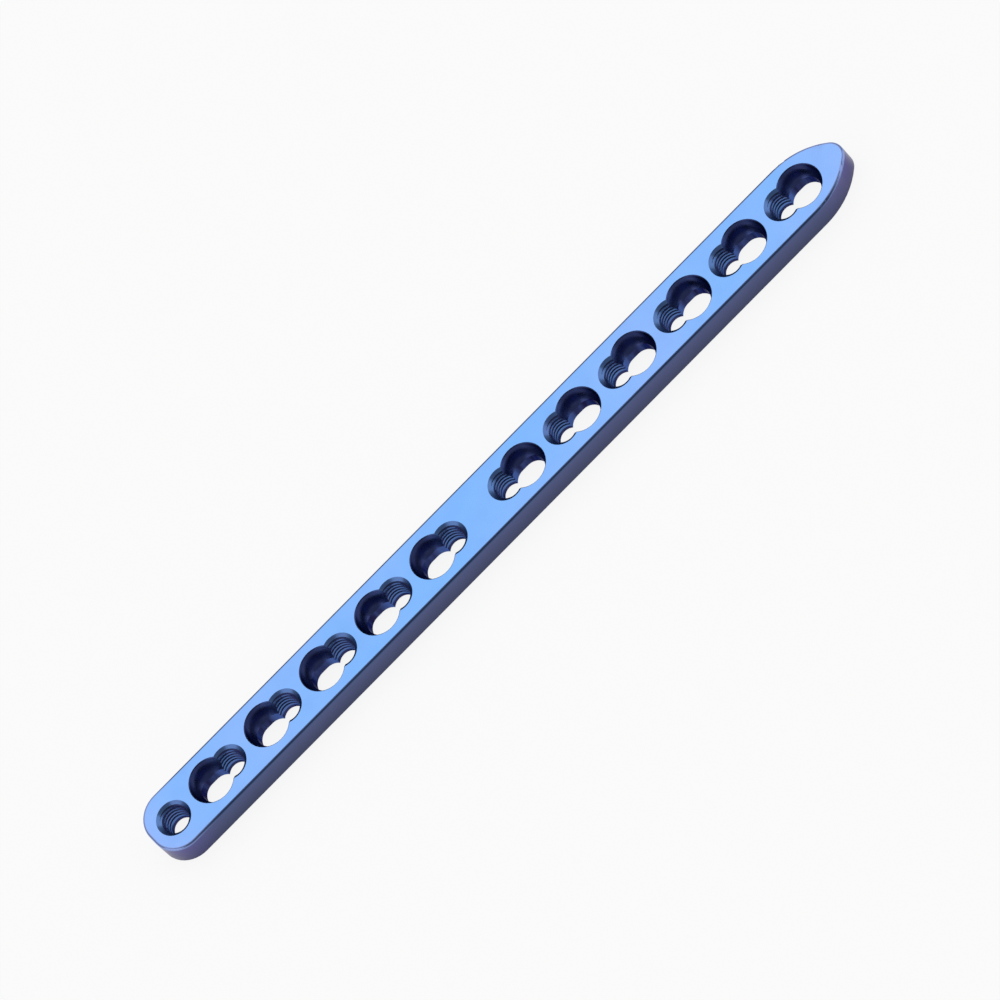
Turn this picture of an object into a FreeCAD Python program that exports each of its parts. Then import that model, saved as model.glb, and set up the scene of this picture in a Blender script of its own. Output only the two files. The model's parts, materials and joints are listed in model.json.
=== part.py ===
# Straight locking compression bone plate
# One solid of anodised titanium with a single row of screw holes at one even spacing.
# A round threaded hole sits in the rounded end. Every other hole is a combination hole:
# a conical threaded lobe that opens into a dished seat with an oval slot, on the side away from the middle.
# Frame: X along the plate towards the tapered nose, Y across it, Z up from the bone face.
# The origin is under the middle of the plate's length, on the bone face.
import FreeCAD, Part
import math
import os

import Sketcher

# Driving dimensions in millimetres
DIMENSIONS = [
    ("hole_spacing", 13.0, "from one thread axis to the next"),
    ("plate_width", 12.2, "overall width"),
    ("plate_thickness", 5.1, "bone face to top face"),
    ("top_edge_radius", 0.45, "rounding along the top edge"),
    ("base_edge_break", 0.3, "chamfer along the bone face's edge"),
    ("end_reach", 5.1, "end hole's axis to the rounded end"),
    ("end_corner_radius", 5.2, "plan radius of the rounded end's corners"),
    ("nose_reach", 13.7, "last thread axis to the tip of the nose"),
    ("nose_radius", 2.9, "plan radius at the tip of the nose"),
    ("flank_radius", 14.3, "plan radius of the nose's flanks"),
    ("mouth_radius", 3.2, "threaded lobe at the top face"),
    ("lead_in_depth", 0.75, "height of the smooth countersink above the thread"),
    ("thread_top_radius", 2.45, "cone of the thread's crests under the countersink"),
    ("land_radius", 2.0, "plain bore under the thread"),
    ("land_height", 1.0, "bone face to the lowest thread"),
    ("seat_radius", 4.0, "dished seat, part of a sphere centred in the top face"),
    ("seat_offset", 4.15, "thread axis to the centre of the dished seat"),
    ("slot_half_width", 2.45, "screw slot under the seat, across the plate"),
    ("slot_near", 3.5, "thread axis to the slot's nearer arc centre"),
    ("slot_far", 4.75, "thread axis to the slot's farther arc centre"),
    ("edge_break", 0.15, "broken edges round the seats and under the openings"),
]

# Combination holes on each side of the plain middle web
COUNTS = [
    ("end_side_holes", 5, "between the rounded end and the middle web"),
    ("nose_side_holes", 6, "between the middle web and the nose"),
]

SIZE = {name: value for name, value, note in DIMENSIONS + COUNTS}

# Places along the plate, written from the dimensions
END_AXIS = "([end_reach] - [nose_reach] - ([end_side_holes] + [nose_side_holes]) * [hole_spacing]) / 2"
HALF_LENGTH = "([end_reach] + [nose_reach] + ([end_side_holes] + [nose_side_holes]) * [hole_spacing]) / 2"

doc = FreeCAD.newDocument("bone_plate")


def make_sheet():
    """The dimension table that every feature reads."""
    table = doc.addObject("Spreadsheet::Sheet", "Dimensions")
    for row, (name, value, note) in enumerate(DIMENSIONS + COUNTS, start=1):
        table.set(f"A{row}", name)
        table.set(f"B{row}", str(value))
        table.set(f"C{row}", note)
        table.setAlias(f"B{row}", name)
    doc.recompute()
    return table


def bound(text):
    """The expression with each [name] reading its cell of the table."""
    for name in SIZE:
        text = text.replace(f"[{name}]", f"Dimensions.{name}")
    return text


def number(text):
    """The same expression as a number, to draw a sketch close to its solved shape."""
    for name, value in SIZE.items():
        text = text.replace(f"[{name}]", str(value))
    return FreeCAD.Units.Quantity(text).Value


make_sheet()
body = doc.addObject("PartDesign::Body", "bone_plate")
body.Label = "bone_plate"
doc.recompute()


def origin_feature(role):
    """One of the body's own origin planes or axes."""
    return next(item for item in body.Origin.OriginFeatures if item.Role == role)


def new_sketch(name, plane, along="0", up="0", heading=0.0):
    """A sketch on an origin plane, moved along the plate and up the page, and turned to face a heading."""
    sketch = body.newObject("Sketcher::SketchObject", name)
    sketch.AttachmentSupport = [(origin_feature(plane), "")]
    sketch.MapMode = "FlatFace"
    turn = FreeCAD.Rotation(FreeCAD.Vector(0, 0, 1), heading)
    sketch.AttachmentOffset = FreeCAD.Placement(FreeCAD.Vector(number(along), number(up), 0), turn)
    sketch.setExpression("AttachmentOffset.Base.x", bound(along))
    sketch.setExpression("AttachmentOffset.Base.y", bound(up))
    return sketch


def drive(sketch, kind, *place_and_text):
    """Add a dimension whose value follows an expression of the table."""
    *geometry, text = place_and_text
    index = sketch.addConstraint(Sketcher.Constraint(kind, *geometry, number(text)))
    sketch.setExpression(f"Constraints[{index}]", bound(text))


# A sketch's own axes and the numbers that name an edge's points
ORIGIN = (-1, 1)
X_AXIS, Y_AXIS = -1, -2
START, END, CENTRE = 1, 2, 3

# Shapes are compared with heights to this many millimetres
CLOSE = 1e-4


def arc(centre_x, centre_y, radius, from_angle, to_angle):
    """A counter-clockwise arc, angles in degrees."""
    circle = Part.Circle(FreeCAD.Vector(centre_x, centre_y, 0), FreeCAD.Vector(0, 0, 1), radius)
    return Part.ArcOfCircle(circle, math.radians(from_angle), math.radians(to_angle))


def line(start_x, start_y, end_x, end_y):
    return Part.LineSegment(FreeCAD.Vector(start_x, start_y, 0), FreeCAD.Vector(end_x, end_y, 0))


def join_tangent(sketch, count):
    """Each edge runs smoothly into the next, all the way round."""
    for edge in range(count):
        sketch.addConstraint(Sketcher.Constraint("Tangent", edge, END, (edge + 1) % count, START))


def outline_sketch():
    """Plan of the plate: straight sides, a rounded end and a tapered nose."""
    sketch = new_sketch("outline", "XY_Plane")
    half = number("[plate_width] / 2")
    end = -number(HALF_LENGTH)
    corner = number("[end_corner_radius]")
    flank = number("[flank_radius]")
    nose = number("[nose_radius]")
    nose_centre = number(HALF_LENGTH) - nose
    flank_centre = nose_centre - math.sqrt((flank - nose) ** 2 - (flank - half) ** 2)
    lean = math.degrees(math.atan2(flank - half, nose_centre - flank_centre))
    edges = [
        line(end + corner, -half, flank_centre, -half),
        arc(flank_centre, flank - half, flank, -90, -lean),
        arc(nose_centre, 0, nose, -lean, lean),
        arc(flank_centre, half - flank, flank, lean, 90),
        line(flank_centre, half, end + corner, half),
        arc(end + corner, half - corner, corner, 90, 180),
        line(end, half - corner, end, corner - half),
        arc(end + corner, corner - half, corner, 180, 270),
    ]
    low_side, low_flank, tip, high_flank, high_side, high_corner, end_side, low_corner = range(len(edges))
    sketch.addGeometry(edges, False)
    join_tangent(sketch, len(edges))
    sketch.addConstraint(Sketcher.Constraint("Horizontal", low_side))
    sketch.addConstraint(Sketcher.Constraint("Horizontal", high_side))
    sketch.addConstraint(Sketcher.Constraint("Vertical", end_side))
    sketch.addConstraint(Sketcher.Constraint("PointOnObject", tip, CENTRE, X_AXIS))
    sketch.addConstraint(Sketcher.Constraint("Equal", low_flank, high_flank))
    sketch.addConstraint(Sketcher.Constraint("Equal", low_corner, high_corner))
    drive(sketch, "Radius", low_flank, "[flank_radius]")
    drive(sketch, "Radius", tip, "[nose_radius]")
    drive(sketch, "Radius", low_corner, "[end_corner_radius]")
    drive(sketch, "DistanceY", low_side, END, *ORIGIN, "[plate_width] / 2")
    drive(sketch, "DistanceY", *ORIGIN, high_side, START, "[plate_width] / 2")
    drive(sketch, "DistanceX", end_side, START, *ORIGIN, HALF_LENGTH)
    drive(sketch, "DistanceX", *ORIGIN, tip, CENTRE, f"{HALF_LENGTH} - [nose_radius]")
    return sketch


def thread_profile():
    """Half section of a threaded lobe: plain land, cone of the thread's crests and countersink."""
    sketch = new_sketch("thread_profile", "XZ_Plane", END_AXIS)
    corners = [
        ("0", "0"),
        ("[land_radius]", "0"),
        ("[land_radius]", "[land_height]"),
        ("[thread_top_radius]", "[plate_thickness] - [lead_in_depth]"),
        ("[mouth_radius]", "[plate_thickness]"),
        ("0", "[plate_thickness]"),
    ]
    points = [(number(x), number(z)) for x, z in corners]
    count = len(points)
    for index in range(count):
        sketch.addGeometry(line(*points[index], *points[(index + 1) % count]), False)
    for index in range(count):
        following = (index + 1) % count
        sketch.addConstraint(Sketcher.Constraint("Coincident", index, END, following, START))
    for index, (x, z) in enumerate(corners):
        if x == "0":
            sketch.addConstraint(Sketcher.Constraint("PointOnObject", index, START, Y_AXIS))
        else:
            drive(sketch, "DistanceX", *ORIGIN, index, START, x)
        if z == "0":
            sketch.addConstraint(Sketcher.Constraint("PointOnObject", index, START, X_AXIS))
        else:
            drive(sketch, "DistanceY", *ORIGIN, index, START, z)
    return sketch


def seat_profile(name, along):
    """Half section of a dished seat, a part of a sphere below the top face."""
    sketch = new_sketch(name, "XZ_Plane", along, up="[plate_thickness]")
    radius = number("[seat_radius]")
    edges = [arc(0, 0, radius, 270, 360), line(radius, 0, 0, 0), line(0, 0, 0, -radius)]
    bowl, mouth, middle = range(len(edges))
    sketch.addGeometry(edges, False)
    for edge, following in ((bowl, mouth), (mouth, middle), (middle, bowl)):
        sketch.addConstraint(Sketcher.Constraint("Coincident", edge, END, following, START))
    sketch.addConstraint(Sketcher.Constraint("Coincident", mouth, END, *ORIGIN))
    sketch.addConstraint(Sketcher.Constraint("Coincident", bowl, CENTRE, *ORIGIN))
    sketch.addConstraint(Sketcher.Constraint("PointOnObject", mouth, START, X_AXIS))
    sketch.addConstraint(Sketcher.Constraint("PointOnObject", bowl, START, Y_AXIS))
    drive(sketch, "Radius", bowl, "[seat_radius]")
    return sketch


def slot_sketch(name, along, heading):
    """Round-ended slot for a screw's shank, under the seat."""
    sketch = new_sketch(name, "XY_Plane", along, heading=heading)
    near = number("[slot_near]")
    far = number("[slot_far]")
    half = number("[slot_half_width]")
    edges = [
        line(near, -half, far, -half),
        arc(far, 0, half, -90, 90),
        line(far, half, near, half),
        arc(near, 0, half, 90, 270),
    ]
    low_side, far_end, high_side, near_end = range(len(edges))
    sketch.addGeometry(edges, False)
    join_tangent(sketch, len(edges))
    sketch.addConstraint(Sketcher.Constraint("Equal", far_end, near_end))
    sketch.addConstraint(Sketcher.Constraint("PointOnObject", far_end, CENTRE, X_AXIS))
    sketch.addConstraint(Sketcher.Constraint("PointOnObject", near_end, CENTRE, X_AXIS))
    drive(sketch, "Radius", far_end, "[slot_half_width]")
    drive(sketch, "DistanceX", *ORIGIN, near_end, CENTRE, "[slot_near]")
    drive(sketch, "DistanceX", *ORIGIN, far_end, CENTRE, "[slot_far]")
    return sketch


def require_cut(feature, before):
    """A cutting feature has to take material away."""
    doc.recompute()
    if feature.Shape.Volume >= before.Shape.Volume:
        raise RuntimeError(f"{feature.Name} cut nothing")
    return feature


def flat_face(shape, height):
    """The largest face that lies flat at one height."""
    level = [face for face in shape.Faces if flat_at(face, height)]
    return max(level, key=lambda face: face.Area)


def flat_at(item, height):
    box = item.BoundBox
    return abs(box.ZMin - height) < CLOSE and abs(box.ZMax - height) < CLOSE


def is_among(edge, others):
    return any(edge.isSame(other) for other in others)


def edge_names(shape, chosen):
    """The names by which a shape's chosen edges are picked."""
    return [f"Edge{index}" for index, edge in enumerate(shape.Edges, start=1) if is_among(edge, chosen)]


def outline_edges(shape, height):
    """The edges round the outside of the flat face at one height."""
    return flat_face(shape, height).OuterWire.Edges


def rim_edges(shape, height):
    """The edges round the openings in the flat face at one height. A countersink's mouth isn't a sharp rim."""
    outline = outline_edges(shape, height)
    inside = [edge for edge in flat_face(shape, height).Edges if not is_among(edge, outline)]
    return [edge for edge in inside if not is_countersunk(edge)]


def is_countersunk(edge):
    return isinstance(edge.Curve, Part.Circle) and abs(edge.Curve.Radius - SIZE["mouth_radius"]) < CLOSE


def finish_edges(kind, name, before, edges, size, text):
    """Round edges with a Fillet's Radius or break them with a Chamfer's Size, by an expression of the table."""
    feature = body.newObject(f"PartDesign::{kind}", name)
    feature.Base = (before, edge_names(before.Shape, edges))
    setattr(feature, size, number(text))
    feature.setExpression(size, bound(text))
    return require_cut(feature, before)


def repeat(name, originals, before, count):
    """Repeat features along the row of holes."""
    pattern = body.newObject("PartDesign::LinearPattern", name)
    pattern.Originals = originals
    pattern.Direction = (origin_feature("X_Axis"), [""])
    pattern.Mode = "Spacing"
    pattern.Offset = number("[hole_spacing]")
    pattern.setExpression("Offset", bound("[hole_spacing]"))
    pattern.Occurrences = int(number(count))
    pattern.setExpression("Occurrences", bound(count))
    body.Tip = pattern
    return require_cut(pattern, before)


def blank():
    """The bar's full outline at full thickness, rounded along the top and chamfered along the bone face."""
    pad = body.newObject("PartDesign::Pad", "blank")
    pad.Profile = outline_sketch()
    pad.Length = number("[plate_thickness]")
    pad.setExpression("Length", bound("[plate_thickness]"))
    doc.recompute()
    top_outline = outline_edges(pad.Shape, SIZE["plate_thickness"])
    top = finish_edges("Fillet", "top_edge", pad, top_outline, "Radius", "[top_edge_radius]")
    base_outline = outline_edges(top.Shape, 0.0)
    return finish_edges("Chamfer", "base_edge", top, base_outline, "Size", "[base_edge_break]")


def threaded_lobes(before):
    """The conical bores at every station of the row, from the end hole to the nose."""
    groove = body.newObject("PartDesign::Groove", "threaded_lobe")
    groove.Profile = thread_profile()
    groove.ReferenceAxis = (groove.Profile[0], ["V_Axis"])
    groove.Angle = 360.0
    require_cut(groove, before)
    return repeat("threaded_row", [groove], groove, "[end_side_holes] + [nose_side_holes] + 1")


def seats(side, before, first_axis, facing, heading, count):
    """The dished seats and their slots on one side of the middle web."""
    bowl = body.newObject("PartDesign::Groove", f"{side}_seat")
    bowl.Profile = seat_profile(f"{side}_seat_profile", f"{first_axis} {facing} [seat_offset]")
    bowl.ReferenceAxis = (bowl.Profile[0], ["V_Axis"])
    bowl.Angle = 360.0
    require_cut(bowl, before)
    slot = body.newObject("PartDesign::Pocket", f"{side}_slot")
    slot.Profile = slot_sketch(f"{side}_slot_outline", first_axis, heading)
    slot.Type = "ThroughAll"
    slot.Reversed = True
    require_cut(slot, bowl)
    return repeat(f"{side}_seat_row", [bowl, slot], slot, count)


def build():
    edge = blank()
    row = threaded_lobes(edge)
    end_side = seats(
        "end_side", row, f"{END_AXIS} + [hole_spacing]", "-", 180.0, "[end_side_holes]"
    )
    nose_side = seats(
        "nose_side",
        end_side,
        f"{END_AXIS} + ([end_side_holes] + 1) * [hole_spacing]",
        "+",
        0.0,
        "[nose_side_holes]",
    )
    base_rims = rim_edges(nose_side.Shape, 0.0)
    base = finish_edges("Chamfer", "base_rims", nose_side, base_rims, "Size", "[edge_break]")
    seat_rims = rim_edges(base.Shape, SIZE["plate_thickness"])
    return finish_edges("Chamfer", "seat_rims", base, seat_rims, "Size", "[edge_break]")


def check():
    """Every feature and the solid itself have to be sound before anything is written."""
    for item in doc.Objects:
        bad = [word for word in item.State if word in ("Invalid", "Error")]
        if bad:
            raise RuntimeError(f"{item.Name} is {bad}")
        if hasattr(item, "Shape") and item.isDerivedFrom("PartDesign::Feature"):
            if item.Shape.isNull() or not item.Shape.isValid():
                raise RuntimeError(f"{item.Name} has a bad shape")
    if len(body.Shape.Solids) != 1:
        raise RuntimeError("the plate is not one solid")


build()
doc.recompute()
check()
os.makedirs("parts", exist_ok=True)
body.Shape.exportStep(f"parts/{body.Label}.step")
print(f"{body.Label}: {body.Shape.Volume:.1f} mm3, {len(body.Shape.Faces)} faces")
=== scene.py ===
"""Looks of a straight locking bone plate in blue anodised titanium.

The solid plate comes from the frame. This file cuts the fine threads into its round lobes, gives each
machined surface its own finish with painted shade, sheen and highlights in its colour, and sets up a pale
studio with the camera at the photo's angle.
Lengths are in metres, in the plate's frame: X towards the nose, Z up from the bone face.
"""

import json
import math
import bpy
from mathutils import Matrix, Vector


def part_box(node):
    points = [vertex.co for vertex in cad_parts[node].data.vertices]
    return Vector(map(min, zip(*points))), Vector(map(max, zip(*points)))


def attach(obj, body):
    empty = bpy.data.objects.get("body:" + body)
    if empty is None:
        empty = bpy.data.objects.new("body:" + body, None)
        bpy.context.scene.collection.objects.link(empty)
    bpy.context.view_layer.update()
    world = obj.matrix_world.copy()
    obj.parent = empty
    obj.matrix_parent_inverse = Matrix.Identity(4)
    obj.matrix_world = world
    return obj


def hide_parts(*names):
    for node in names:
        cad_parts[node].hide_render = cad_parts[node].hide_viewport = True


bl_info = {
    "name": "Bone plate finish",
    "version": (1, 0, 0),
    "blender": (4, 5, 0),
    "location": "3D View > Sidebar > Bone plate",
    "description": "Threads, anodised finishes and studio for a locking bone plate",
    "category": "Object",
}

from typing import NamedTuple

import bmesh
import bpy
from mathutils import Matrix, Vector

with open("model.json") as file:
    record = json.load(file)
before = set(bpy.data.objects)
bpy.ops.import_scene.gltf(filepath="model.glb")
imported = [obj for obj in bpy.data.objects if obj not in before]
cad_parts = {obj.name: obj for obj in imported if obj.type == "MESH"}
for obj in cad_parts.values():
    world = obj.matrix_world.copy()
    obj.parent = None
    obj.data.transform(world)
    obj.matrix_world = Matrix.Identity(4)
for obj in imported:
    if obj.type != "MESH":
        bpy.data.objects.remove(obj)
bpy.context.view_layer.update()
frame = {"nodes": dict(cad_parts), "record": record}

MM = 0.001
PLATE_NODE = "bone_plate"
BODY = "root"

# Places of the holes, read from the record's mounts
MOUNTS = {mount["name"]: Vector(mount["pos_m"]) for mount in frame["record"]["mounts"]}
END_HOLE = MOUNTS["end_threaded_hole"]
LOBES = [place for name, place in sorted(MOUNTS.items()) if name.startswith("locking_lobe")]
THREAD_AXES = [END_HOLE.x] + [place.x for place in LOBES]
WEB_MIDDLE = MOUNTS["bone_face"].x

# Holes in the solid plate
MOUTH_RADIUS = 3.2 * MM
LEAD_IN_DEPTH = 0.75 * MM
CREST_TOP_RADIUS = 2.45 * MM
LAND_RADIUS = 2.0 * MM
LAND_HEIGHT = 1.0 * MM
SEAT_OFFSET = 4.15 * MM
SEAT_RADIUS = 4.0 * MM
RIM_BREAK = 0.15 * MM
PLATE_LOW, PLATE_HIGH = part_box(PLATE_NODE)
TOP = PLATE_HIGH.z
THREAD_TOP = TOP - LEAD_IN_DEPTH

# How far a hole's rims reach past its countersink and past its seat
MOUTH_MARGIN = RIM_BREAK / 2
SEAT_MARGIN = 1.5 * RIM_BREAK

# How a face is told apart: its distance from a wall, and the share of its normal that points up
WALL_TOLERANCE = 0.06 * MM
LEVEL = 0.999
UPRIGHT = 0.1
ROLLED = 0.05

# Foot and head of a tap, how far it stays inside the wall between the teeth, and its turns to spare
TAP_FOOT = LAND_HEIGHT + 0.01 * MM
TAP_HEAD = TOP - LEAD_IN_DEPTH / 3
UNDER_WALL = 0.03 * MM
SPARE_TURNS = 2

# Vertices nearer than this are welded: in the solid, in the taps and after the cut
SOLID_WELD = 0.001 * MM
TAP_WELD = 0.0001 * MM
CUT_WELD = 0.0002 * MM

# Faces that meet at more than this angle keep a crease
SHARP_ANGLE = math.radians(28.0)

# The tooth's shape, from one crest of the lobe's wall to the next: share of the rise, share of the depth
TOOTH = ((0.0, 0.0), (0.4, 0.0), (0.64, 1.0), (0.74, 1.0), (1.0, 0.0))

# Centres of the first and last thread axes at the top face, in the photo's pixels
PHOTO_SIDE = 1000
END_HOLE_PX = Vector((173.6, 817.9))
NOSE_HOLE_PX = Vector((781.6, 203.7))

# Which way patches and marks run: along the plate, evenly, or down a hole's wall
ALONG, EVEN, DOWN = (0.12, 1.0, 1.0), (1.0, 1.0, 1.0), (1.0, 1.0, 0.15)

# Colour of a glancing reflection: plain on the open faces, and dimmed inside the holes as painted shade
OPEN, HOLE_SHADE = (1.0, 1.0, 1.0), (0.35, 0.35, 0.45)

# Height of the bump that stands for the finest tool marks
RELIEF = 0.02 * MM

# Range of the noise over which the oxide drifts (and the painted highlight streaks come and go), and over
# which the gloss does
DRIFT_RANGE = (0.35, 0.7)
GLOSS_RANGE = (0.3, 0.7)
GLOSS_SCALE = 220.0

# Where the painted violet sheen at the ends begins, and the distances from a thread axis at which the painted
# lobe highlight begins and is full
END_SHEEN_START = 0.85 * PLATE_HIGH.x
LOBE_HIGHLIGHT_START = 3.6 * MM
LOBE_HIGHLIGHT_FULL = 1.6 * MM


class FinishAndPaintedLight(NamedTuple):
    """How a machined surface varies.

    The oxide drifts to another tint by an amount, in patches of a scale and run; with the streak tint these
    patches are painted highlight streaks. The roughness has a low and a high value. The tool marks have a
    bump, a run and a scale. Painted shade is added towards the bone face (below zero it paints light there
    instead), a painted violet sheen at the plate's ends and a painted highlight by the threaded lobes. The
    glance is the colour of the glancing reflection, dimmed inside the holes as painted shade.
    """

    tint_and_light: str
    amount: float
    scale: float
    roughness: tuple
    bump: float
    run: tuple = EVEN
    mark_run: tuple = EVEN
    mark_scale: float = 6000.0
    painted_foot_shade: float = 0.0
    painted_end_sheen: float = 0.0
    painted_lobe_highlight: float = 0.0
    glance: tuple = OPEN


# Painted light in this table: the side wall is darkened towards the bone face as painted shade and the seats
# lightened towards their bottom as painted light; the ends get a painted violet sheen; the seats and slot
# walls get painted highlights by the lobes and painted highlight streaks; the holes' glancing reflection is
# dimmed as painted shade
FINISHES_AND_PAINTED_LIGHT = {
    "top_face": FinishAndPaintedLight("lilac", 0.35, 45.0, (0.24, 0.34), 0.15, EVEN, ALONG, 9000.0, painted_end_sheen=0.25),
    "rolled_edge": FinishAndPaintedLight("lilac", 0.05, 60.0, (0.18, 0.28), 0.1, EVEN, ALONG, painted_end_sheen=0.7),
    "side_wall": FinishAndPaintedLight(
        "violet", 0.12, 40.0, (0.24, 0.38), 0.25, ALONG, ALONG, 5000.0, painted_foot_shade=0.55, painted_end_sheen=0.75
    ),
    "seat": FinishAndPaintedLight("streak_highlight", 0.08, 300.0, (0.22, 0.36), 0.15, painted_foot_shade=-1.2, painted_lobe_highlight=0.3, glance=HOLE_SHADE),
    "slot_wall": FinishAndPaintedLight("streak_highlight", 0.3, 900.0, (0.25, 0.4), 0.3, DOWN, DOWN, painted_lobe_highlight=0.8, glance=HOLE_SHADE),
    "countersink": FinishAndPaintedLight("violet", 0.2, 250.0, (0.24, 0.34), 0.1),
    "thread_crest": FinishAndPaintedLight("violet", 0.2, 300.0, (0.2, 0.3), 0.1, glance=HOLE_SHADE),
    "thread_groove": FinishAndPaintedLight("violet", 0.2, 300.0, (0.3, 0.45), 0.1, glance=HOLE_SHADE),
    "bone_face": FinishAndPaintedLight("lilac", 0.3, 45.0, (0.3, 0.42), 0.2, EVEN, ALONG, 7000.0, painted_end_sheen=0.3),
}


def colour_property(name, description, default):
    return bpy.props.FloatVectorProperty(
        name=name, description=description, default=default, subtype="COLOR", size=3, min=0.0, max=1.0
    )


def length_property(name, description, default):
    return bpy.props.FloatProperty(
        name=name, description=description, default=default, min=0.0, subtype="DISTANCE", unit="LENGTH"
    )


class PlateThreadSettings(bpy.types.PropertyGroup):
    """Sizes of the conical screw thread."""

    pitch: length_property("Pitch", "Rise of the thread in one turn", 0.72 * MM)
    depth: length_property("Depth", "Depth of the groove behind the crests", 0.24 * MM)
    run_out: length_property("Run-out", "Height over which the lowest groove fades away", 0.35 * MM)
    segments: bpy.props.IntProperty(
        name="Segments", description="Steps round one turn", default=48, min=12, max=128
    )


class PlateColourSettings(bpy.types.PropertyGroup):
    """Colours of each machined surface: the oxide's own blue on the top and bone faces, painted shade in the
    darker colours of the other surfaces, and tints that also paint sheen and highlights.
    """

    top_face: colour_property("Top face", "Polished top face", (0.18, 0.395, 0.81))
    # Painted shade: the rolled edge, side wall, seats, slot walls, countersinks and thread crests have darker
    # blues than the top face, standing in for the dark reflections and shade on them, and the grooves are
    # darker still
    rolled_edge: colour_property("Rolled edge", "Rounded edge of the top face", (0.055, 0.088, 0.2))
    side_wall: colour_property("Side wall", "Outside wall", (0.073, 0.096, 0.215))
    seat: colour_property("Seat", "Dished seats", (0.03, 0.039, 0.112))
    slot_wall: colour_property("Slot wall", "Walls of the slots and lands", (0.024, 0.024, 0.068))
    countersink: colour_property("Countersink", "Mouths of the threaded lobes", (0.095, 0.19, 0.43))
    thread_crest: colour_property("Thread crest", "Crests of the threads", (0.085, 0.175, 0.42))
    thread_groove: colour_property("Thread groove", "Grooves between the crests", (0.028, 0.038, 0.105))
    bone_face: colour_property("Bone face", "Underside that lies on the bone", (0.17, 0.36, 0.74))
    # Lilac and violet drift over the faces in random patches, and are mixed in towards the plate's ends as a
    # painted sheen
    lilac: colour_property("Lilac", "Tint that drifts over the polished faces", (0.3, 0.4, 0.79))
    violet: colour_property("Violet", "Tint where the oxide is thicker", (0.115, 0.098, 0.31))
    # Painted highlight: lighter blue streaks down the slot walls and seats, and the highlight by the lobes
    streak_highlight: colour_property("Streak", "Lighter streaks down the slot walls", (0.1, 0.17, 0.46))


class PlateStageSettings(bpy.types.PropertyGroup):
    """The pale studio round the plate."""

    floor: colour_property("Floor", "Colour of the floor", (0.9, 0.9, 0.9))
    view_tilt: bpy.props.FloatProperty(
        name="View tilt",
        description="Angle from straight above to the photo's line of sight",
        default=math.radians(33.0),
        subtype="ANGLE",
        unit="ROTATION",
    )
    lens: bpy.props.FloatProperty(
        name="Lens", description="Focal length in millimetres", default=400.0, min=50.0
    )


# Small helpers for shader trees


def add_node(tree, kind, **settings):
    """A node with its settings: an attribute by its name, an input by its socket's name."""
    node = tree.nodes.new(kind)
    for name, value in settings.items():
        if hasattr(node, name):
            setattr(node, name, value)
        else:
            node.inputs[name.replace("_", " ")].default_value = value
    return node


def feed(tree, socket, value):
    """Link a socket to another one's value, or set it to a value of its own."""
    if isinstance(value, bpy.types.NodeSocket):
        tree.links.new(value, socket)
    else:
        socket.default_value = value


def maths(tree, operation, *values, **settings):
    """The result of a maths node, fed with sockets or numbers."""
    node = add_node(tree, "ShaderNodeMath", operation=operation, **settings)
    for socket, value in zip(node.inputs, values):
        feed(tree, socket, value)
    return node.outputs[0]


def ranged(tree, value, start, end, low=0.0, high=1.0, kind="LINEAR"):
    """A value's share of the way from a start to an end, laid between a low and a high value."""
    node = add_node(tree, "ShaderNodeMapRange", interpolation_type=kind, From_Min=start, From_Max=end)
    feed(tree, node.inputs["Value"], value)
    feed(tree, node.inputs["To Min"], low)
    feed(tree, node.inputs["To Max"], high)
    return node.outputs["Result"]


def stretched_noise(tree, place, run, scale, detail, roughness):
    """Noise stretched along a run."""
    stretch = add_node(tree, "ShaderNodeMapping")
    noise = add_node(tree, "ShaderNodeTexNoise", Detail=detail, Roughness=roughness)
    feed(tree, stretch.inputs["Vector"], place)
    feed(tree, stretch.inputs["Scale"], run)
    feed(tree, noise.inputs["Vector"], stretch.outputs["Vector"])
    feed(tree, noise.inputs["Scale"], scale)
    return noise.outputs["Fac"]


def new_group(name, inputs, outputs):
    """An empty node group with its sockets, and its input and output nodes."""
    tree = bpy.data.node_groups.new(name, "ShaderNodeTree")
    for socket, kind, value in inputs:
        made = tree.interface.new_socket(name=socket, in_out="INPUT", socket_type=kind)
        made.default_value = value
    for socket, kind in outputs:
        tree.interface.new_socket(name=socket, in_out="OUTPUT", socket_type=kind)
    return tree, tree.nodes.new("NodeGroupInput"), tree.nodes.new("NodeGroupOutput")


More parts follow.
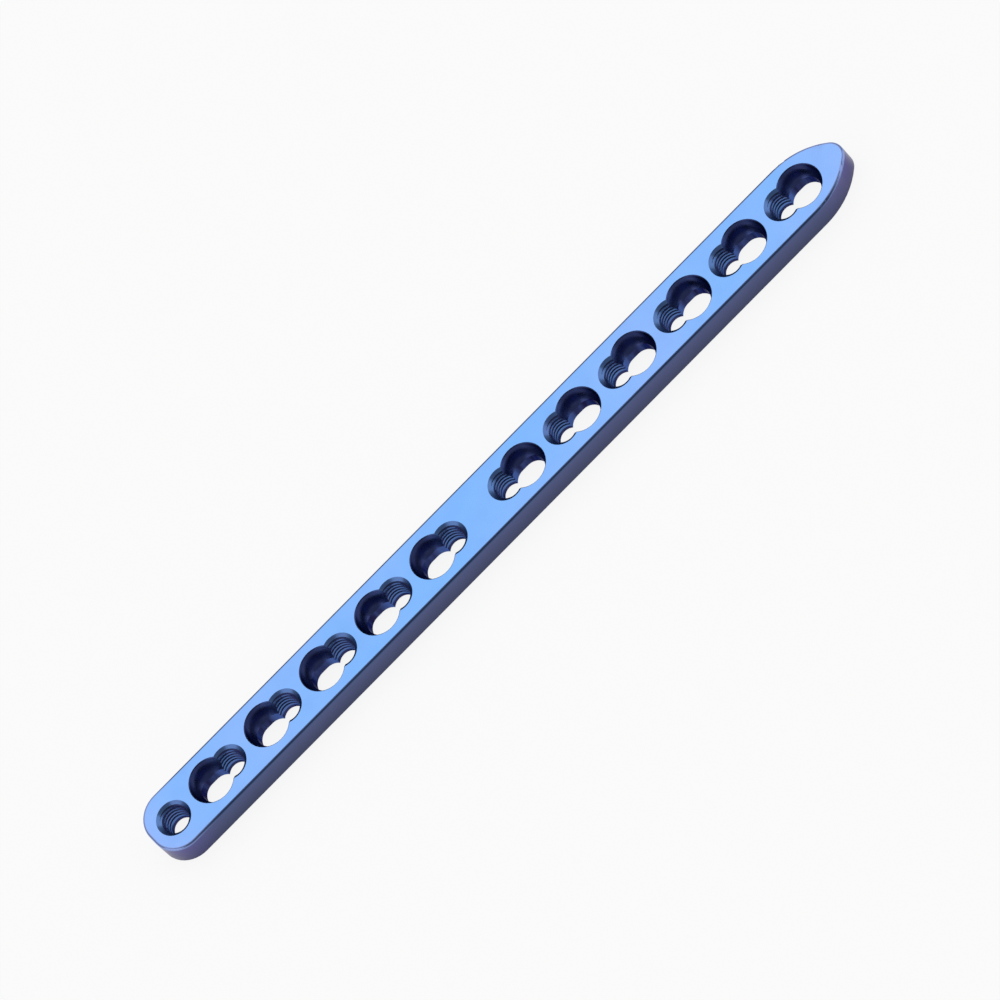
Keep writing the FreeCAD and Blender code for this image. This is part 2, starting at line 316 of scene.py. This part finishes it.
def oxide_and_painted_light_group():
    """Oxide colour that wanders with the film's thickness in patches (painted highlight streaks where the
    tint is the streak colour), with painted shade towards the bone face (painted light where the shade is
    below zero), a painted violet sheen at the ends and a painted highlight by the lobes.
    """
    tree, given, made = new_group(
        "oxide_and_painted_light",
        [
            ("Colour", "NodeSocketColor", (0.2, 0.4, 0.9, 1.0)),
            ("Tint and light colour", "NodeSocketColor", (0.2, 0.1, 0.3, 1.0)),
            ("Amount", "NodeSocketFloat", 0.2),
            ("Scale", "NodeSocketFloat", 60.0),
            ("Run", "NodeSocketVector", EVEN),
            ("Painted foot shade", "NodeSocketFloat", 0.0),
            ("Painted end sheen", "NodeSocketFloat", 0.0),
            ("Painted lobe highlight", "NodeSocketFloat", 0.0),
        ],
        [("Colour", "NodeSocketColor")],
    )
    place = add_node(tree, "ShaderNodeTexCoord").outputs["Object"]
    split = add_node(tree, "ShaderNodeSeparateXYZ")
    feed(tree, split.inputs["Vector"], place)
    noise = stretched_noise(tree, place, given.outputs["Run"], given.outputs["Scale"], 2.0, 0.5)
    patches = maths(tree, "MULTIPLY", ranged(tree, noise, *DRIFT_RANGE), given.outputs["Amount"])
    # Painted highlight by each thread axis, where the seats and slot walls meet the lobes
    from_first = maths(tree, "SUBTRACT", split.outputs["X"], THREAD_AXES[0])
    from_axis = maths(tree, "PINGPONG", from_first, (THREAD_AXES[1] - THREAD_AXES[0]) / 2)
    near_lobe = ranged(tree, from_axis, LOBE_HIGHLIGHT_START, LOBE_HIGHLIGHT_FULL, kind="SMOOTHSTEP")
    lobes = maths(tree, "MULTIPLY_ADD", near_lobe, given.outputs["Painted lobe highlight"], patches)
    # Painted violet sheen towards the plate's ends
    outwards = maths(tree, "ABSOLUTE", split.outputs["X"])
    near_end = ranged(tree, outwards, END_SHEEN_START, PLATE_HIGH.x, kind="SMOOTHSTEP")
    ends = maths(tree, "MULTIPLY", near_end, given.outputs["Painted end sheen"])
    mix = add_node(tree, "ShaderNodeMix", data_type="RGBA")
    feed(tree, mix.inputs["Factor"], maths(tree, "ADD", lobes, ends, use_clamp=True))
    feed(tree, mix.inputs["A"], given.outputs["Colour"])
    feed(tree, mix.inputs["B"], given.outputs["Tint and light colour"])
    # Painted shade, darker towards the bone face; below zero it paints light there instead
    near_foot = ranged(tree, split.outputs["Z"], TOP, 0.0)
    foot = maths(tree, "MULTIPLY", near_foot, given.outputs["Painted foot shade"])
    shaded = add_node(tree, "ShaderNodeVectorMath", operation="SCALE")
    feed(tree, shaded.inputs[0], mix.outputs["Result"])
    feed(tree, shaded.inputs["Scale"], maths(tree, "SUBTRACT", 1.0, foot))
    feed(tree, made.inputs["Colour"], shaded.outputs[0])
    return tree


def tool_marks_group():
    """Fine marks of a tool or of tumbling: a height for the bump, and a roughness that wanders."""
    tree, given, made = new_group(
        "tool_marks",
        [
            ("Run", "NodeSocketVector", EVEN),
            ("Scale", "NodeSocketFloat", 4000.0),
            ("Roughness low", "NodeSocketFloat", 0.2),
            ("Roughness high", "NodeSocketFloat", 0.35),
        ],
        [("Height", "NodeSocketFloat"), ("Roughness", "NodeSocketFloat")],
    )
    place = add_node(tree, "ShaderNodeTexCoord").outputs["Object"]
    fine = stretched_noise(tree, place, given.outputs["Run"], given.outputs["Scale"], 4.0, 0.6)
    patches = add_node(tree, "ShaderNodeTexNoise", Scale=GLOSS_SCALE, Detail=3.0, Roughness=0.55)
    feed(tree, patches.inputs["Vector"], place)
    low, high = given.outputs["Roughness low"], given.outputs["Roughness high"]
    feed(tree, made.inputs["Height"], fine)
    feed(tree, made.inputs["Roughness"], ranged(tree, patches.outputs["Fac"], *GLOSS_RANGE, low, high))
    return tree


def surface_material(name, tint_and_light, marks):
    """One machined surface's finish: drifting oxide colour with its painted shade, sheen and highlights, over
    bare metal gloss, with its tool marks.
    """
    tones, finish = bpy.context.scene.plate_finish, FINISHES_AND_PAINTED_LIGHT[name]
    material = bpy.data.materials.new("anodised_" + name)
    material.use_nodes = True
    tree = material.node_tree
    shader = tree.nodes["Principled BSDF"]
    shader.inputs["Metallic"].default_value = 1.0
    # Inside the holes the glancing reflection is dimmed as painted shade
    shader.inputs["Specular Tint"].default_value = (*finish.glance, 1.0)
    oxide = add_node(tree, "ShaderNodeGroup", node_tree=tint_and_light)
    # The surface's colour, which holds painted shade on all but the top and bone faces
    oxide.inputs["Colour"].default_value = (*getattr(tones, name), 1.0)
    oxide.inputs["Tint and light colour"].default_value = (*getattr(tones, finish.tint_and_light), 1.0)
    oxide.inputs["Amount"].default_value = finish.amount
    oxide.inputs["Scale"].default_value = finish.scale
    oxide.inputs["Run"].default_value = finish.run
    # Painted shade towards the bone face, painted sheen at the ends and painted highlight by the lobes
    oxide.inputs["Painted foot shade"].default_value = finish.painted_foot_shade
    oxide.inputs["Painted end sheen"].default_value = finish.painted_end_sheen
    oxide.inputs["Painted lobe highlight"].default_value = finish.painted_lobe_highlight
    worked = add_node(tree, "ShaderNodeGroup", node_tree=marks)
    worked.inputs["Run"].default_value = finish.mark_run
    worked.inputs["Scale"].default_value = finish.mark_scale
    worked.inputs["Roughness low"].default_value = finish.roughness[0]
    worked.inputs["Roughness high"].default_value = finish.roughness[1]
    relief = add_node(tree, "ShaderNodeBump", Distance=RELIEF)
    relief.inputs["Strength"].default_value = finish.bump
    tree.links.new(oxide.outputs["Colour"], shader.inputs["Base Color"])
    tree.links.new(worked.outputs["Roughness"], shader.inputs["Roughness"])
    tree.links.new(worked.outputs["Height"], relief.inputs["Height"])
    tree.links.new(relief.outputs["Normal"], shader.inputs["Normal"])
    return material


def material_slot(name):
    return list(FINISHES_AND_PAINTED_LIGHT).index(name)


# The plate and its threads


def seat_side(axis_x):
    """The direction along the plate in which a lobe opens into its seat: away from the middle web."""
    if axis_x == END_HOLE.x:
        return 0.0
    return math.copysign(1.0, axis_x - WEB_MIDDLE)


def crest_radius(height):
    """Radius of the lobe's wall in the solid at a height above the bone face."""
    if height <= LAND_HEIGHT:
        return LAND_RADIUS
    if height <= THREAD_TOP:
        share = (height - LAND_HEIGHT) / (THREAD_TOP - LAND_HEIGHT)
        return LAND_RADIUS + share * (CREST_TOP_RADIUS - LAND_RADIUS)
    share = (height - THREAD_TOP) / LEAD_IN_DEPTH
    return CREST_TOP_RADIUS + share * (MOUTH_RADIUS - CREST_TOP_RADIUS)


def in_hole(x, y, axis_x):
    """Whether a point in plan lies within a hole's rims."""
    if math.hypot(x - axis_x, y) < MOUTH_RADIUS + MOUTH_MARGIN:
        return True
    side = seat_side(axis_x)
    from_seat = math.hypot(x - axis_x - side * SEAT_OFFSET, y)
    return side != 0.0 and from_seat < SEAT_RADIUS + SEAT_MARGIN


def hole_of(x, y):
    """The thread axis of the hole that a point in plan lies in, or None outside the holes."""
    for axis_x in THREAD_AXES:
        if in_hole(x, y, axis_x):
            return axis_x
    return None


def surface_of(face):
    """Which surface's material a face of the solid takes, from where it lies and how it faces."""
    centre, normal = face.calc_center_median(), face.normal
    if normal.z > LEVEL and centre.z > TOP - WALL_TOLERANCE:
        return "top_face"
    if normal.z < -LEVEL:
        return "bone_face"
    axis_x = hole_of(centre.x, centre.y)
    if axis_x is not None:
        outwards = math.hypot(centre.x - axis_x, centre.y)
        if abs(outwards - crest_radius(centre.z)) < WALL_TOLERANCE:
            if centre.z < LAND_HEIGHT:
                return "thread_groove"
            return "countersink" if centre.z > THREAD_TOP else "thread_crest"
        return "slot_wall" if abs(normal.z) < UPRIGHT or centre.z < LAND_HEIGHT else "seat"
    return "rolled_edge" if normal.z > ROLLED else "side_wall"


def tooth_share(phase):
    """Share of the tooth's depth at a share of a turn's rise."""
    for (start, low), (end, high) in zip(TOOTH, TOOTH[1:]):
        if phase <= end:
            return low + (phase - start) / (end - start) * (high - low)
    return 0.0


def tap_radius(settings, height, phase):
    """Radius of a tap at a height: just inside the lobe's wall, with the tooth reaching behind it."""
    share = (height - LAND_HEIGHT) / (THREAD_TOP - LAND_HEIGHT)
    cone = LAND_RADIUS + share * (CREST_TOP_RADIUS - LAND_RADIUS)
    fade = min((height - LAND_HEIGHT) / settings.run_out, 1.0)
    return cone - UNDER_WALL + fade * tooth_share(phase) * (settings.depth + UNDER_WALL)


def tap_column(settings, axis_x, step):
    """Points up a tap's side at one step of its turn, held between its foot and its head."""
    turn_rows = len(TOOTH) - 1
    turns = math.ceil((TAP_HEAD - TAP_FOOT) / settings.pitch) + SPARE_TURNS
    angle = math.tau * step / settings.segments
    column = []
    for row in range(turn_rows * turns):
        rise = row // turn_rows - 1 + TOOTH[row % turn_rows][0] + step / settings.segments
        height = min(max(TAP_FOOT + settings.pitch * rise, TAP_FOOT), TAP_HEAD)
        phase = ((height - TAP_FOOT) / settings.pitch - step / settings.segments) % 1.0
        radius = tap_radius(settings, height, phase)
        column.append((axis_x + radius * math.cos(angle), radius * math.sin(angle), height))
    return column


def thread_taps(settings):
    """The taps that cut every lobe's groove, as one mesh: at each axis a closed cone with a helical tooth."""
    mesh = bmesh.new()
    last = settings.segments - 1
    for axis_x in THREAD_AXES:
        columns = []
        for step in range(settings.segments):
            columns.append([mesh.verts.new(spot) for spot in tap_column(settings, axis_x, step)])
        for step, here in enumerate(columns):
            # The last strip joins the first column one turn higher
            lead = len(TOOTH) - 1 if step == last else 0
            ahead = columns[0 if step == last else step + 1][lead:]
            for row in range(len(ahead) - 1):
                mesh.faces.new((here[row], ahead[row], ahead[row + 1], here[row + 1]))
    bmesh.ops.remove_doubles(mesh, verts=mesh.verts[:], dist=TAP_WELD)
    ends = [edge for edge in mesh.edges if edge.is_boundary]
    bmesh.ops.holes_fill(mesh, edges=ends, sides=0)
    bmesh.ops.recalc_face_normals(mesh, faces=mesh.faces[:])
    for face in mesh.faces:
        face.material_index = material_slot("thread_groove")
    data = bpy.data.meshes.new("thread_taps")
    mesh.to_mesh(data)
    mesh.free()
    return data


def solid_copy(materials):
    """The plate's solid from the frame, welded into one closed mesh, with each face's finish."""
    mesh = bmesh.new()
    mesh.from_mesh(frame["nodes"][PLATE_NODE].data)
    bmesh.ops.remove_doubles(mesh, verts=mesh.verts[:], dist=SOLID_WELD)
    mesh.normal_update()
    for face in mesh.faces:
        face.material_index = material_slot(surface_of(face))
    data = bpy.data.meshes.new("threaded_plate")
    mesh.to_mesh(data)
    mesh.free()
    for material in materials:
        data.materials.append(material)
    return data


def link_object(name, data):
    made = bpy.data.objects.new(name, data)
    bpy.context.scene.collection.objects.link(made)
    return made


def cut_threads(plate, taps):
    """Subtract the taps from the plate and keep the result as the plate's own mesh."""
    cut = plate.modifiers.new("threads", "BOOLEAN")
    cut.operation = "DIFFERENCE"
    cut.solver = "EXACT"
    cut.object = taps
    bpy.context.view_layer.update()
    shape = plate.evaluated_get(bpy.context.evaluated_depsgraph_get())
    result = bpy.data.meshes.new_from_object(shape)
    plate.modifiers.clear()
    plate.data = result


def shade(data):
    """Smooth over the curved faces, with a crease wherever two faces meet at more than the sharp angle."""
    mesh = bmesh.new()
    mesh.from_mesh(data)
    bmesh.ops.remove_doubles(mesh, verts=mesh.verts[:], dist=CUT_WELD)
    bmesh.ops.dissolve_degenerate(mesh, edges=mesh.edges[:], dist=CUT_WELD)
    for face in mesh.faces:
        face.smooth = True
    for edge in mesh.edges:
        edge.smooth = len(edge.link_faces) == 2 and edge.calc_face_angle() < SHARP_ANGLE
    mesh.to_mesh(data)
    mesh.free()


class PLATE_OT_threaded_plate(bpy.types.Operator):
    """Cut the threads and give every machined surface its finish, with painted shade, sheen and highlights in
    its colour
    """

    bl_idname = "plate.threaded_plate"
    bl_label = "Build the threaded plate"

    def execute(self, context):
        tint_and_light, marks = oxide_and_painted_light_group(), tool_marks_group()
        materials = [surface_material(name, tint_and_light, marks) for name in FINISHES_AND_PAINTED_LIGHT]
        plate = link_object("threaded_plate", solid_copy(materials))
        taps = link_object("thread_taps", thread_taps(context.scene.plate_thread))
        for material in materials:
            taps.data.materials.append(material)
        cut_threads(plate, taps)
        bpy.data.objects.remove(taps)
        if not plate.data.polygons:
            raise RuntimeError("cutting the threads left no plate")
        shade(plate.data)
        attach(plate, BODY)
        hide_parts(PLATE_NODE)
        return {"FINISHED"}


# The studio

# Direction that the top face mirrors to the camera
LIGHT_SIDE = (0.0, 0.54, 0.84)

# Each lamp: the direction towards it, its side and the brightness of its face
SOFTBOX_DISTANCE = 1.6
SOFTBOXES = {
    "back_softbox": (LIGHT_SIDE, 1.4, 0.3),
    "nose_softbox": ((0.87, -0.25, 0.39), 1.5, 0.8),
    "end_softbox": ((-0.87, -0.25, 0.39), 1.5, 0.8),
}

# Surround: brightness overhead and at the horizon, where the light side begins and is full, as the cosine of
# the angle from its middle, and the heights between which the horizon fades
OVERHEAD, HORIZON = 0.24, 0.45
LIGHT_SIDE_FADE = (0.6, 0.88)
HORIZON_FADE = (0.35, 0.65)

# Floor: half its side, its gap under the plate, and the share of it that glows towards the camera
FLOOR_HALF = 4.0
FLOOR_GAP = 0.02 * MM
FLOOR_GLOW = 0.88

CAMERA_CLIP = (0.05, 50.0)


def photo_axes(tilt):
    """The photo's right, up and back directions in the plate's frame, and its scale in pixels per metre."""
    across = NOSE_HOLE_PX - END_HOLE_PX
    turn = math.atan2(-across.y, across.x)
    along = Vector((1.0, 0.0, 0.0))
    over = Vector((0.0, math.cos(tilt), math.sin(tilt)))
    right = along * math.cos(turn) - over * math.sin(turn)
    up = along * math.sin(turn) + over * math.cos(turn)
    scale = across.length / (THREAD_AXES[-1] - THREAD_AXES[0])
    return right, up, right.cross(up), scale


def make_camera(settings):
    right, up, back, scale = photo_axes(settings.view_tilt)
    middle = Vector(((THREAD_AXES[0] + THREAD_AXES[-1]) / 2, 0.0, TOP))
    middle_px = (END_HOLE_PX + NOSE_HOLE_PX) / 2
    aim = middle + right * ((PHOTO_SIDE / 2 - middle_px.x) / scale)
    aim = aim + up * ((middle_px.y - PHOTO_SIDE / 2) / scale)
    data = bpy.data.cameras.new("photo_camera")
    data.lens = settings.lens
    distance = PHOTO_SIDE / scale * settings.lens / data.sensor_width
    data.clip_start, data.clip_end = CAMERA_CLIP
    camera = link_object("photo_camera", data)
    facing = Matrix((right, up, back)).transposed().to_4x4()
    camera.matrix_world = Matrix.Translation(aim + back * distance) @ facing
    bpy.context.scene.camera = camera


def floor_material(colour):
    """Pale floor that looks nearly white to the camera and in the metal, and keeps the plate's shadow."""
    material = bpy.data.materials.new("pale_floor")
    material.use_nodes = True
    tree = material.node_tree
    tree.nodes.remove(tree.nodes["Principled BSDF"])
    output = tree.nodes["Material Output"]
    lit = add_node(tree, "ShaderNodeBsdfDiffuse")
    lit.inputs["Color"].default_value = (*colour, 1.0)
    white = add_node(tree, "ShaderNodeEmission", Strength=1.0)
    rays = add_node(tree, "ShaderNodeLightPath").outputs
    seen = maths(tree, "MAXIMUM", rays["Is Camera Ray"], rays["Is Glossy Ray"])
    seen_through = maths(tree, "MAXIMUM", seen, rays["Is Transmission Ray"])
    mix = add_node(tree, "ShaderNodeMixShader")
    feed(tree, mix.inputs["Fac"], maths(tree, "MULTIPLY", seen_through, FLOOR_GLOW))
    feed(tree, mix.inputs[1], lit.outputs["BSDF"])
    feed(tree, mix.inputs[2], white.outputs["Emission"])
    feed(tree, output.inputs["Surface"], mix.outputs["Shader"])
    return material


def make_floor(settings):
    data = bpy.data.meshes.new("floor")
    low, high, level = -FLOOR_HALF, FLOOR_HALF, PLATE_LOW.z - FLOOR_GAP
    corners = [(low, low, level), (high, low, level), (high, high, level), (low, high, level)]
    data.from_pydata(corners, [], [(0, 1, 2, 3)])
    data.materials.append(floor_material(settings.floor))
    link_object("floor", data)


def make_softbox(name, direction, side, radiance):
    """A square lamp that faces the plate, by the brightness of its face."""
    data = bpy.data.lights.new(name, "AREA")
    data.shape = "SQUARE"
    data.size = side
    data.energy = radiance * math.pi * side**2
    lamp = link_object(name, data)
    back = Vector(direction).normalized()
    lamp.location = back * SOFTBOX_DISTANCE
    lamp.rotation_mode = "QUATERNION"
    lamp.rotation_quaternion = back.to_track_quat("Z", "Y")


def make_world():
    """Studio surround: bright behind and above the plate, dim overhead in front, paler at the horizon."""
    world = bpy.data.worlds.new("studio")
    world.use_nodes = True
    tree = world.node_tree
    surround = tree.nodes["Background"]
    place = add_node(tree, "ShaderNodeTexCoord").outputs["Generated"]
    towards_light = add_node(tree, "ShaderNodeVectorMath", operation="DOT_PRODUCT")
    feed(tree, towards_light.inputs[0], place)
    feed(tree, towards_light.inputs[1], LIGHT_SIDE)
    split = add_node(tree, "ShaderNodeSeparateXYZ")
    feed(tree, split.inputs["Vector"], place)
    lit = ranged(tree, towards_light.outputs["Value"], *LIGHT_SIDE_FADE, OVERHEAD, 1.0)
    horizon = ranged(tree, split.outputs["Z"], *HORIZON_FADE, HORIZON, OVERHEAD)
    feed(tree, surround.inputs["Color"], maths(tree, "MAXIMUM", lit, horizon))
    surround.inputs["Strength"].default_value = 1.0
    bpy.context.scene.world = world


class PLATE_OT_stage(bpy.types.Operator):
    """Set up the floor, the soft light and the camera"""

    bl_idname = "plate.stage"
    bl_label = "Build the stage"

    def execute(self, context):
        settings = context.scene.plate_stage
        make_floor(settings)
        make_world()
        for name, softbox in SOFTBOXES.items():
            make_softbox(name, *softbox)
        make_camera(settings)
        context.scene.view_settings.view_transform = "Standard"
        return {"FINISHED"}


class PLATE_PT_sidebar(bpy.types.Panel):
    """Sizes, colours and build steps of the bone plate"""

    bl_label = "Bone plate"
    bl_idname = "PLATE_PT_sidebar"
    bl_space_type = "VIEW_3D"
    bl_region_type = "UI"
    bl_category = "Bone plate"

    def draw(self, context):
        for group in SETTINGS:
            settings, box = getattr(context.scene, group), self.layout.box()
            for name in settings.bl_rna.properties.keys():
                if name not in ("rna_type", "name"):
                    box.prop(settings, name)
        self.layout.operator(PLATE_OT_threaded_plate.bl_idname)
        self.layout.operator(PLATE_OT_stage.bl_idname)


SETTINGS = {
    "plate_thread": PlateThreadSettings,
    "plate_finish": PlateColourSettings,
    "plate_stage": PlateStageSettings,
}
CLASSES = (*SETTINGS.values(), PLATE_OT_threaded_plate, PLATE_OT_stage, PLATE_PT_sidebar)


def register():
    for item in CLASSES:
        bpy.utils.register_class(item)
    for name, kind in SETTINGS.items():
        setattr(bpy.types.Scene, name, bpy.props.PointerProperty(type=kind))


def unregister():
    for name in SETTINGS:
        delattr(bpy.types.Scene, name)
    for item in reversed(CLASSES):
        bpy.utils.unregister_class(item)


def main():
    register()
    bpy.ops.plate.threaded_plate()
    bpy.ops.plate.stage()


if __name__ == "__main__":
    main()
